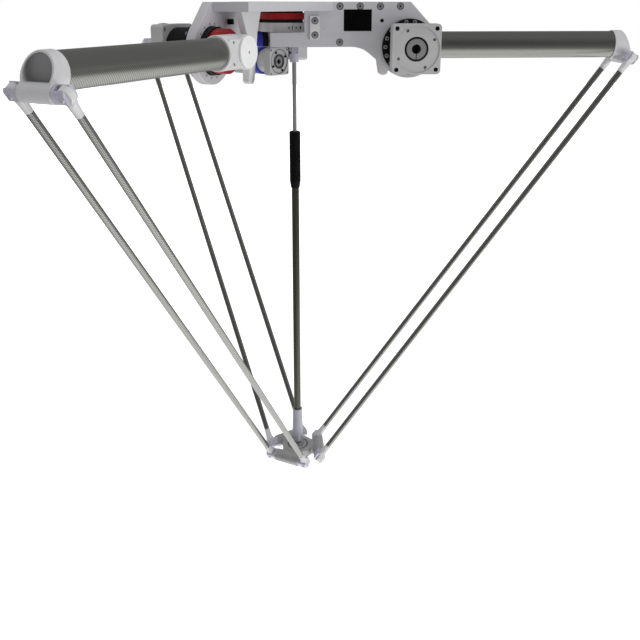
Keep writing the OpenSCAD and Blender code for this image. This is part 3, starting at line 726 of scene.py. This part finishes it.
eased = ease_edges("top_plate", 0.001, "base", frame_metal)
eased += ease_edges("case_strap", 0.0006, "base", light_metal)
eased += ease_edges("axis4_adapter", 0.0007, "base", face_metal)
eased += ease_edges("axis4_gearbox", 0.001, "base", case_metal)
for name in STATIONS:
    eased += ease_edges("long_plate_" + name, 0.0008, "base", frame_metal)
    eased += ease_edges("stop_bracket_" + name, 0.001, "base", light_metal)
    eased += ease_edges("motor_adapter_" + name, 0.0009, "base", face_metal)
    eased += ease_edges("hub_cap_" + name, 0.0008, "arm_" + name, cap_plastic)
    eased += ease_edges("rod_blocks_" + name, 0.0005, "rods_" + name, joint_steel)
eased += ease_edges("tool_flange", 0.0006, "tool_shaft", light_metal)
print("faces in the chamfered pieces:", eased)

# %% [markdown]
# ## Castings
# The elbows, rod ends, arm roots and the platform are cast or moulded. Where two forms meet,
# such a part has a fillet and not a line. A fine voxel remesh turns the joined forms into one
# even skin, and a few rounds of smoothing then round every meeting line alike.


# %% Cast elbows, rod ends, arm roots and platform
def cast_skin(node, voxel, rounds, body, finish):
    """Stands a filleted, even-skinned copy in for a cast solid."""
    copy = solid_copy(node)
    modify(copy, "REMESH", mode="VOXEL", voxel_size=voxel, use_smooth_shade=True)
    modify(copy, "SMOOTH", factor=0.5, iterations=rounds)
    modify(copy, "DECIMATE", decimate_type="COLLAPSE", ratio=0.4)
    soften_shading(copy, 60.0)
    finish_piece(copy, node + "_cast", body, finish, (node,))
    return len(copy.data.polygons)


cast = cast_skin("platform", 0.0011, 5, "platform", platform_metal)
for name in STATIONS:
    elbow = "elbow_casting_" + name
    cast += cast_skin(elbow, 0.0008, 8, "arm_" + name, elbow_finishes[name])
    cast += cast_skin("rod_ends_" + name, 0.0009, 4, "rods_" + name, light_metal)
    cast += cast_skin("arm_root_" + name, 0.0012, 6, "arm_" + name, light_metal)
print("faces in the castings:", cast)

# %% [markdown]
# ## Screws
# The robot is held together by socket head screws. Each is a short drum with a chamfered rim
# and a six-sided socket. One could be spun from a profile, but a cylinder is quicker: its top
# rim is bevelled, its shank is drawn out of the underside, and a six-sided cylinder cuts the
# socket. Three sizes are modelled once and copied to all their places.


# %% One socket head screw
def model_screw(head_radius, head_height, shank_radius, shank_length, socket_share):
    """A socket head screw along +Z, with the top of its head at the origin."""
    screw = add_drum(head_radius, head_height)
    pick_faces(screw, looks_down)
    bpy.ops.mesh.inset(thickness=head_radius - shank_radius, depth=0.0)
    bpy.ops.mesh.extrude_region_move(TRANSFORM_OT_translate={"value": (0.0, 0.0, -shank_length)})
    pick_faces(screw, looks_up)
    bpy.ops.mesh.bevel(offset=head_radius * 0.14, segments=2, affect="EDGES")
    cutter = add_drum(head_radius * socket_share, head_height, 0.6 * head_height, vertices=6)
    modify(screw, "BOOLEAN", operation="DIFFERENCE", object=cutter, solver="EXACT")
    discard(cutter)
    screw.data.materials.clear()
    screw.data.materials.append(screw_metal)
    # The faces down in the socket take the black finish as painted shade, where the deep socket falls into
    # shadow.
    screw.data.materials.append(black_metal_and_shade)
    reach = head_radius * socket_share * 1.02
    for face in screw.data.polygons:
        inside = math.hypot(face.center.x, face.center.y) < reach
        sunk = -head_height < face.center.z < -0.02 * head_height
        face.material_index = 1 if inside and sunk else 0
    return soften_shading(screw)


def facing(way, place):
    """A matrix that turns +Z to a direction and moves the origin to a place."""
    return Matrix.Translation(place) @ way.to_track_quat("Z", "Y").to_matrix().to_4x4()


plate_screw = model_screw(0.0065, 0.008, 0.004, 0.018, 0.34)
gear_screw = model_screw(0.0042, 0.005, 0.0021, 0.003, 0.46)
small_screw = model_screw(0.0028, 0.003, 0.0015, 0.003, 0.46)
print("faces in one plate screw:", len(plate_screw.data.polygons))

# %% Where the screws of the frame sit
SIDE_FACE, INNER_FACE, FLANGE_FACE = -0.070, -0.050, -0.083
FIRST_SCREW, SCREW_PITCH, TOP_ROW, LOW_SCREW = 0.0947, 0.0426, -0.009, -0.082
GEAR_SCREWS, GEAR_CIRCLE = 18, 0.052
PILOT_CIRCLE, PILOT_TURN, PILOT_DEPTH = 0.041, 27.5, 0.0035
STRAP_U, STRAP_Z, STRAP_SPREAD, STRAP_FACE = 0.0417, -0.0525, 0.0145, SIDE_FACE - 0.006
CORNERS = [(-1, -1), (-1, 1), (1, -1), (1, 1)]


def plate_spots(name, v):
    """The places of a gearbox plate's screws, at a given v."""
    spots = [(FIRST_SCREW + n * SCREW_PITCH, TOP_ROW) for n in range(4)] + [(FIRST_SCREW, LOW_SCREW)]
    return [at(name, u, v, z) for u, z in spots]


def circle_spots(name, v, radius, count, first=0.0):
    """Places on a circle round a shoulder's axis, at a given v."""
    turns = [math.radians(first) + 2.0 * math.pi * n / count for n in range(count)]
    return [at(name, shoulder_u + radius * math.cos(t), v, shoulder_z + radius * math.sin(t)) for t in turns]


def strap_spots(v):
    """The places of the small plate's two screws, at a given v."""
    return [at("a", STRAP_U, v, STRAP_Z + side * STRAP_SPREAD) for side in (-1, 1)]


print("plate screws on station a at", [tuple(round(c, 4) for c in p) for p in plate_spots("a", SIDE_FACE)])

# %% Screws in the frame and the gearboxes
base_screws = []
for name in STATIONS:
    out = level_way(name, 0.0, -1.0)
    for screw, spots in (
        (plate_screw, plate_spots(name, SIDE_FACE + 0.001)),
        (gear_screw, circle_spots(name, FLANGE_FACE, GEAR_CIRCLE, GEAR_SCREWS)),
        (small_screw, circle_spots(name, motor_face + PILOT_DEPTH, PILOT_CIRCLE, 4, -PILOT_TURN)),
    ):
        base_screws += [copy_to(screw, facing(out, spot)) for spot in spots]
for spot in strap_spots(STRAP_FACE + 0.0005):
    base_screws.append(copy_to(plate_screw, facing(level_way("a", 0.0, -1.0), spot)))
screws = join_up(base_screws, "frame_screws")
finish_piece(screws, "frame_screws", "base", screw_metal, ("cap_screws",))
print("screws in the frame:", len(base_screws))

# %% Screws in the arm roots and joint blocks
NECK_U, NECK_FACE, NECK_SPREAD, CAP_FACE = 0.046, 0.0272, 0.020, 0.0322
PIN_HEAD = 0.0136
for name in STATIONS:
    out = level_way(name, 0.0, 1.0)
    spots = [at(name, shoulder_u + NECK_U, NECK_FACE, shoulder_z + side * NECK_SPREAD) for side in (-1, 1)]
    spots.append(at(name, shoulder_u, CAP_FACE, shoulder_z))
    screws = join_up([copy_to(small_screw, facing(out, spot)) for spot in spots], "root_screws_" + name)
    finish_piece(screws, "root_screws_" + name, "arm_" + name, screw_metal)
    pin_heads = []
    for side in (-1, 1):
        top, way = rod_line(name, side)
        level = Vector((0.0, 0.0, 1.0)).cross(way)
        square = way.cross(level).normalized()
        for joint in (top, top + way * ROD_LENGTH):
            for end in (-1, 1):
                pin_heads.append(copy_to(gear_screw, facing(square * end, joint + square * end * PIN_HEAD)))
    screws = join_up(pin_heads, "pin_screws_" + name)
    finish_piece(screws, "pin_screws_" + name, "rods_" + name, joint_steel)
for master in (plate_screw, gear_screw, small_screw):
    discard(master)
print("pin heads on each arm's rods:", len(pin_heads))

# %% [markdown]
# ## Black rings, screw tips and painted shade in holes
# A black sealing ring lies round each plate screw in its sink. The gearbox screws end in the
# inner face of their plate, as a circle of small dark tips. In each motor flange the corner
# holes and the hub's bore get black cups as painted shade, and a black clamp ring holds the
# split hub. A ring is a cylinder with both ends inset and the two inner outlines bridged, which
# opens it. A tip or a shade cup is a shallow cup: a cylinder whose end is inset and pushed in.


# %% One ring and one cup
def model_ring(inner, outer, thickness):
    """A flat ring along +Z, with its top at the origin."""
    ring = add_drum(outer, thickness, vertices=48)
    pick_faces(ring, lambda middle, normal: abs(normal.z) > FLAT)
    bpy.ops.mesh.inset(thickness=outer - inner, depth=0.0, use_individual=True)
    bpy.ops.mesh.bridge_edge_loops()
    modify(ring, "BEVEL", width=0.00015, segments=1, limit_method="ANGLE", angle_limit=math.radians(40.0))
    return soften_shading(ring)


def model_seat(radius, depth):
    """A shallow cup along +Z, with its rim at the origin."""
    shallow_cup = add_drum(radius, depth)
    pick_faces(shallow_cup, looks_up)
    bpy.ops.mesh.inset(thickness=radius * 0.3, depth=0.0)
    bpy.ops.mesh.inset(thickness=radius * 0.05, depth=-depth * 0.6)
    return soften_shading(shallow_cup)


sink_ring = model_ring(0.0066, 0.0074, 0.0008)
clamp_ring = model_ring(0.0205, 0.0243, 0.0014)
# The next two rings are painted shade, for the recess and the groove in the fourth axis's flange.
recess_shade_ring = model_ring(0.0113, 0.0155, 0.0012)
groove_shade_ring = model_ring(0.0248, 0.0262, 0.0006)
tip = model_seat(0.0019, 0.0006)
# The next two cups are black and stand in as painted shade inside the hub bores and the screw holes.
bore_shade_cup = model_seat(0.0093, 0.002)
hole_shade_cup = model_seat(0.0046, 0.002)
print("faces in a ring and a cup:", len(sink_ring.data.polygons), len(tip.data.polygons))

# %% Rings, tips and painted shade in the corner holes of the frame
BOLT_SPREAD, BOLT_DEPTH, SINK_DEPTH = 0.04065, 0.0016, 0.0007
rings_and_hole_shade = []
screw_tips = []
for name in STATIONS:
    out = level_way(name, 0.0, -1.0)
    for spot in plate_spots(name, SIDE_FACE + SINK_DEPTH):
        rings_and_hole_shade.append(copy_to(sink_ring, facing(out, spot)))
    for spot in circle_spots(name, INNER_FACE + 0.0003, GEAR_CIRCLE, GEAR_SCREWS):
        screw_tips.append(copy_to(tip, facing(-out, spot)))
    # Black cups in the corner holes of each motor flange are painted shade of the holes.
    for side_u, side_z in CORNERS:
        u, z = shoulder_u + side_u * BOLT_SPREAD, shoulder_z + side_z * BOLT_SPREAD
        rings_and_hole_shade.append(copy_to(hole_shade_cup, facing(out, at(name, u, motor_face + BOLT_DEPTH, z))))
for spot in strap_spots(STRAP_FACE + SINK_DEPTH):
    rings_and_hole_shade.append(copy_to(sink_ring, facing(level_way("a", 0.0, -1.0), spot)))
finish_piece(join_up(rings_and_hole_shade, "sink_rings_and_hole_shade"), "sink_rings_and_hole_shade", "base", black_metal_and_shade)
finish_piece(join_up(screw_tips, "screw_tips"), "screw_tips", "base", black_metal_and_shade)
print("rings and seats:", len(rings_and_hole_shade), "tips:", len(screw_tips))

# %% Clamp rings and painted shade in the hub bores
CLAMP_DEPTH, BORE_DEPTH = 0.0024, 0.0215
for name in STATIONS:
    out = level_way(name, 0.0, -1.0)
    ring = copy_to(clamp_ring, facing(out, at(name, shoulder_u, motor_face + CLAMP_DEPTH, shoulder_z)))
    # A black cup deep in the hub's bore is painted shade of the bore.
    shallow_cup = copy_to(bore_shade_cup, facing(out, at(name, shoulder_u, motor_face + BORE_DEPTH, shoulder_z)))
    clamp = join_up([ring, shallow_cup], "hub_clamp_" + name)
    finish_piece(clamp, "hub_clamp_" + name, "input_" + name, black_metal_and_shade)
print("clamps:", [n for n in made if n.startswith("hub_clamp")])

# %% Painted shade rings and hole shade in the fourth axis's flange
SMALL_CIRCLE, SMALL_BORE_SHARE, SMALL_HOLE_SHARE = 0.0213, 1.21, 0.56
small_input = joints["motor_input_4"]
face = facing(Vector(small_input["axis"]), Vector(small_input["pos_m"]))
# The dark ring round the hub and the thin ring further out are painted shade of the flange's recess and
# groove, and the black cups in its bore and screw holes are painted shade of those holes.
ring = copy_to(recess_shade_ring, face @ Matrix.Translation((0.0, 0.0, 0.0004)))
groove_shade = copy_to(groove_shade_ring, face @ Matrix.Translation((0.0, 0.0, 0.0001)))
small_bore = Matrix.Translation((0.0, 0.0, -0.004)) @ Matrix.Scale(SMALL_BORE_SHARE, 4)
hole_shade = [copy_to(hole_shade_cup, face @ small_bore)]
for n in range(4):
    turn = math.radians(PILOT_TURN + 90.0 * n)
    spot = Vector((SMALL_CIRCLE * math.cos(turn), SMALL_CIRCLE * math.sin(turn), 0.0004))
    hole = Matrix.Translation(spot) @ Matrix.Scale(SMALL_HOLE_SHARE, 4)
    hole_shade.append(copy_to(hole_shade_cup, face @ hole))
finish_piece(join_up(hole_shade, "fourth_hole_shade"), "fourth_hole_shade", "base", black_metal_and_shade)
finish_piece(join_up([ring, groove_shade], "fourth_shade_rings"), "fourth_shade_rings", "base", recess_shade_grey)
for master in (sink_ring, tip, clamp_ring, bore_shade_cup, hole_shade_cup, recess_shade_ring, groove_shade_ring):
    discard(master)
print("seats in the fourth flange:", len(hole_shade))

# %% [markdown]
# ## Index sensors
# Each gearbox plate has a round hole above the shoulder for a small sensor that finds the
# arm's zero. Its black barrel ends just inside the outer face, and its square head stands
# behind the plate. The barrel is a cylinder with an inset end, and the head is a cube with a
# bevelled outline, joined to it.

# %% Index sensors in the gearbox plates
SENSOR_OUT, SENSOR_UP = -0.059, 0.054
barrel = add_drum(0.0038, 0.021)
pick_faces(barrel, looks_up)
bpy.ops.mesh.bevel(offset=0.0004, segments=2, affect="EDGES")
pick_faces(barrel, looks_up)
bpy.ops.mesh.inset(thickness=0.0011, depth=-0.0004)
head = add_block((0.0, 0.0, -0.0238), (0.011, 0.011, 0.009))
modify(head, "BEVEL", width=0.0012, segments=3)
sensor = soften_shading(join_up([barrel, head], "index_sensor"))
for name in STATIONS:
    spot = at(name, shoulder_u + SENSOR_OUT, SIDE_FACE + 0.0015, shoulder_z + SENSOR_UP)
    placed = copy_to(sensor, facing(level_way(name, 0.0, -1.0), spot))
    finish_piece(placed, "index_sensor_" + name, "base", sleeve_plastic)
discard(sensor)
print("sensors:", [n for n in made if n.startswith("index")])

# %% [markdown]
# ## Label plate, scale marks and clip
# A thin black plate sits on the front gearbox plate, with a raised rim and four rivets. It is
# left bare. Four short black lines on the gear case show where the fourth axis stands at zero,
# and a spring wire clip lies across the front plate. The plate and the lines are thin boxes, so
# that their edges are real ones, and the clip is a curve with a round section.

# %% Bare label plate
LABEL_U, LABEL_Z, LABEL_SIZE = 0.1325, -0.0374, (0.059, 0.0007, 0.044)
label = add_block((LABEL_U, SIDE_FACE - LABEL_SIZE[1] / 2, LABEL_Z), LABEL_SIZE)
pick_faces(label, looks_forward)
bpy.ops.mesh.bevel(offset=0.0003, segments=1, affect="EDGES")
pick_faces(label, looks_forward)
bpy.ops.mesh.inset(thickness=0.0011, depth=0.0)
bpy.ops.mesh.inset(thickness=0.0002, depth=-0.00025)
start_fresh()
finish_piece(label, "label_plate", "base", label_black)
print("label plate:", [round(v, 4) for v in label.dimensions])

# %% Rivets of the label plate
RIVET_U, RIVET_Z, RIVET_HEIGHT = 0.0267, 0.0192, 0.00095
rivet = add_drum(0.0009, 0.0006, vertices=20)
pick_faces(rivet, looks_up)
bpy.ops.mesh.bevel(offset=0.0003, segments=2, affect="EDGES")
rivets = []
for side_u, side_z in CORNERS:
    spot = Vector((LABEL_U + side_u * RIVET_U, SIDE_FACE - RIVET_HEIGHT, LABEL_Z + side_z * RIVET_Z))
    rivets.append(copy_to(rivet, facing(Vector((0.0, -1.0, 0.0)), spot)))
discard(rivet)
finish_piece(join_up(rivets, "label_rivets"), "label_rivets", "base", black_metal_and_shade)
print("rivets:", len(rivets))

# %% Scale marks on the gear case
CASE_FRONT, MARK_RISE = -0.0464, 0.039
MARKS = [
    (-0.0118, 0.0026, 0.0032),
    (-0.0044, 0.0014, 0.0076),
    (0.0036, 0.0026, 0.0032),
    (0.0124, 0.0028, 0.006),
]
marks = []
for x, wide, tall in MARKS:
    mark = add_block((x, CASE_FRONT - 0.00005, shoulder_z + MARK_RISE), (wide, 0.0004, tall))
    pick_faces(mark, looks_forward)
    bpy.ops.mesh.bevel(offset=0.00012, segments=1, affect="EDGES")
    start_fresh()
    marks.append(mark)
finish_piece(join_up(marks, "scale_marks"), "scale_marks", "base", label_black)
print("scale marks:", len(marks))

# %% Spring wire clip
CLIP_PATH = [(0.0515, -0.0560), (0.0570, -0.0560), (0.0610, -0.0580), (0.0660, -0.0555), (0.0725, -0.0585)]
WIRE_RADIUS = 0.0008
start_fresh()
bpy.ops.curve.primitive_bezier_curve_add()
clip = bpy.context.object
clip.data.dimensions = "3D"
clip.data.bevel_depth = WIRE_RADIUS
clip.data.bevel_resolution = 3
wire = clip.data.splines[0]
wire.bezier_points.add(3)
for point, (u, z) in zip(wire.bezier_points, CLIP_PATH):
    point.co = (u, SIDE_FACE - 0.0009, z)
    point.handle_left_type = point.handle_right_type = "AUTO"
bpy.ops.object.convert(target="MESH")
clip = bpy.context.object
bpy.ops.object.transform_apply(location=True, rotation=True, scale=True)
modify(clip, "BEVEL", width=0.0001, segments=1, limit_method="ANGLE", angle_limit=math.radians(60.0))
finish_piece(soften_shading(clip), "wire_clip", "base", light_metal)
print("modelled pieces:", len(made))

# %% [markdown]
# ## Studio
# The robot hangs over a wide white floor, before a white wall. The camera sees both as plain
# white. Metal only looks like metal if it has bright and dim things to mirror, so for mirrored
# rays the floor has one bright spot, the walls and the ceiling are dim, and the side where the
# viewer stands is dark. Two soft lamps and an even sky light the robot at a plain level.

# %% Floor
start_fresh()
bpy.ops.mesh.primitive_plane_add(size=30.0, location=(0.0, 0.0, -1.75))
floor = bpy.context.object
floor.name = "studio_floor"
floor_paint = bpy.data.materials.new("Studio floor")
floor_paint.use_nodes = True
ground = floor_paint.node_tree
matte = ground.nodes["Principled BSDF"]
matte.inputs["Base Color"].default_value = (0.9, 0.9, 0.9, 1.0)
matte.inputs["Roughness"].default_value = 0.9
matte.inputs["Specular IOR Level"].default_value = 0.1
matte.inputs["Emission Color"].default_value = (1.0, 1.0, 1.0, 1.0)
floor_ray = ground.nodes.new("ShaderNodeLightPath")
floor_place = ground.nodes.new("ShaderNodeTexCoord")


def by_distance(centre, start, end, near, far):
    """A value that changes smoothly with the distance from a point on the floor."""
    away = vector_maths(ground, "DISTANCE", floor_place.outputs["Object"], centre)
    return run_between(ground, away.outputs["Value"], start, end, near, far)


glow = by_distance((0.0, 0.0, 0.0), 1.5, 5.0, 0.6, 1.0)
seen_glow = maths(ground, "MULTIPLY", floor_ray.outputs["Is Camera Ray"], glow)
ground.links.new(seen_glow, matte.inputs["Emission Strength"])
bright_spot = ground.nodes.new("ShaderNodeEmission")
ground.links.new(by_distance((0.9, 0.1, 0.0), 1.2, 2.9, 1.35, 0.2), bright_spot.inputs["Strength"])
either = ground.nodes.new("ShaderNodeMixShader")
ground.links.new(floor_ray.outputs["Is Glossy Ray"], either.inputs[0])
ground.links.new(matte.outputs[0], either.inputs[1])
ground.links.new(bright_spot.outputs[0], either.inputs[2])
ground.links.new(either.outputs[0], ground.nodes["Material Output"].inputs["Surface"])
floor.data.materials.append(floor_paint)
print("floor:", [round(v, 1) for v in floor.dimensions])


# %% Lamps
def soft_lamp(name, place, aim, size, power):
    """A square area lamp at a place, turned to face a point. Metal doesn't mirror its outline."""
    bpy.ops.object.light_add(type="AREA", location=place)
    lamp = bpy.context.object
    lamp.name = name
    lamp.data.size = size
    lamp.data.energy = power
    lamp.rotation_euler = (Vector(aim) - Vector(place)).to_track_quat("-Z", "Y").to_euler()
    lamp.visible_glossy = False
    return lamp


soft_lamp("key_lamp", (2.4, -1.9, -0.5), (0.0, 0.0, -0.3), 1.8, 30.0)
soft_lamp("top_lamp", (0.3, -0.5, 2.2), (0.0, 0.0, -0.3), 2.0, 10.0)

# %% Walls, ceiling and sky
TO_VIEWER = (-0.34, -0.94, 0.0)
CEILING_DIM = 0.85
world = bpy.data.worlds.new("Studio world")
bpy.context.scene.world = world
world.use_nodes = True
air = world.node_tree
sky = air.nodes["Background"]
walls = air.nodes.new("ShaderNodeBackground")
which = air.nodes.new("ShaderNodeMixShader")
ray = air.nodes.new("ShaderNodeLightPath")
heading = air.nodes.new("ShaderNodeTexCoord").outputs["Generated"]
to_viewer = vector_maths(air, "DOT_PRODUCT", heading, TO_VIEWER)
height = air.nodes.new("ShaderNodeSeparateXYZ")
air.links.new(heading, height.inputs[0])
dim_side = run_between(air, to_viewer.outputs["Value"], -0.15, 0.7, 0.0, 1.0)
dim_above = maths(air, "MULTIPLY", run_between(air, height.outputs[2], -0.3, 0.1, 0.0, 1.0), CEILING_DIM)
dim = maths(air, "MAXIMUM", dim_side, dim_above)


def wall_colour(mask, bright, dull):
    """The studio's colour, from its bright side to its dull one."""
    return blend_colours(air, mask, (bright, bright, bright), (dull, dull, dull * 1.02))


mirrored = maths(air, "MULTIPLY", dim, ray.outputs["Is Glossy Ray"])
air.links.new(wall_colour(mirrored, 1.0, 0.09), walls.inputs["Color"])
air.links.new(wall_colour(dim_side, 0.86, 0.48), sky.inputs["Color"])
seen_or_mirrored = maths(air, "MAXIMUM", ray.outputs["Is Camera Ray"], ray.outputs["Is Glossy Ray"])
shown = maths(air, "MAXIMUM", seen_or_mirrored, ray.outputs["Is Transmission Ray"])
air.links.new(shown, which.inputs[0])
air.links.new(sky.outputs[0], which.inputs[1])
air.links.new(walls.outputs[0], which.inputs[2])
air.links.new(which.outputs[0], air.nodes["World Output"].inputs["Surface"])
bpy.context.scene.view_settings.view_transform = "Standard"
print("world:", world.name, "with", len(air.nodes), "nodes")
